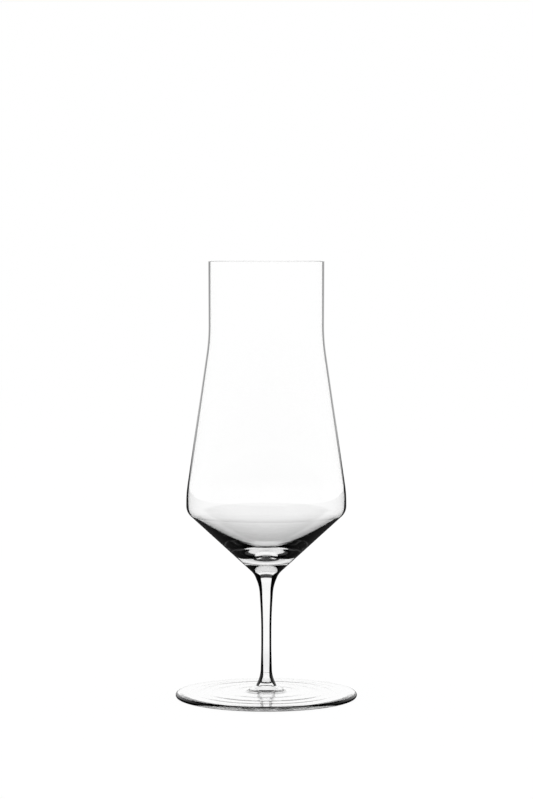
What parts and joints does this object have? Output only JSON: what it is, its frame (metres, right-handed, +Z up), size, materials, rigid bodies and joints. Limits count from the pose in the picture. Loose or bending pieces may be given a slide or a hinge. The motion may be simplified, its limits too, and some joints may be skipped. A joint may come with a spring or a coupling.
{
  "type": "stemmed beer glass",
  "caption": "Clear stemmed tulip beer glass with a straight chimney neck, a widening wall, a rounded shoulder, a steep lower cone with a solid base, a slim drawn stem and a thin flat foot.",
  "frame": {"origin": "on the glass's axis, in the plane of the ring that the foot stands on", "axes": "+Z up along the axis from the foot to the rim; X and Y are alike, because the glass is a body of revolution; the picture looks along +Y"},
  "size_m": [0.0852, 0.0852, 0.205],
  "materials": {
    "clear_glass": "fire-polished, clear and colourless"
  },
  "bodies": {
    "root": {"bowl": "clear_glass", "stem": "clear_glass", "foot": "clear_glass"}
  },
  "joints": []
}
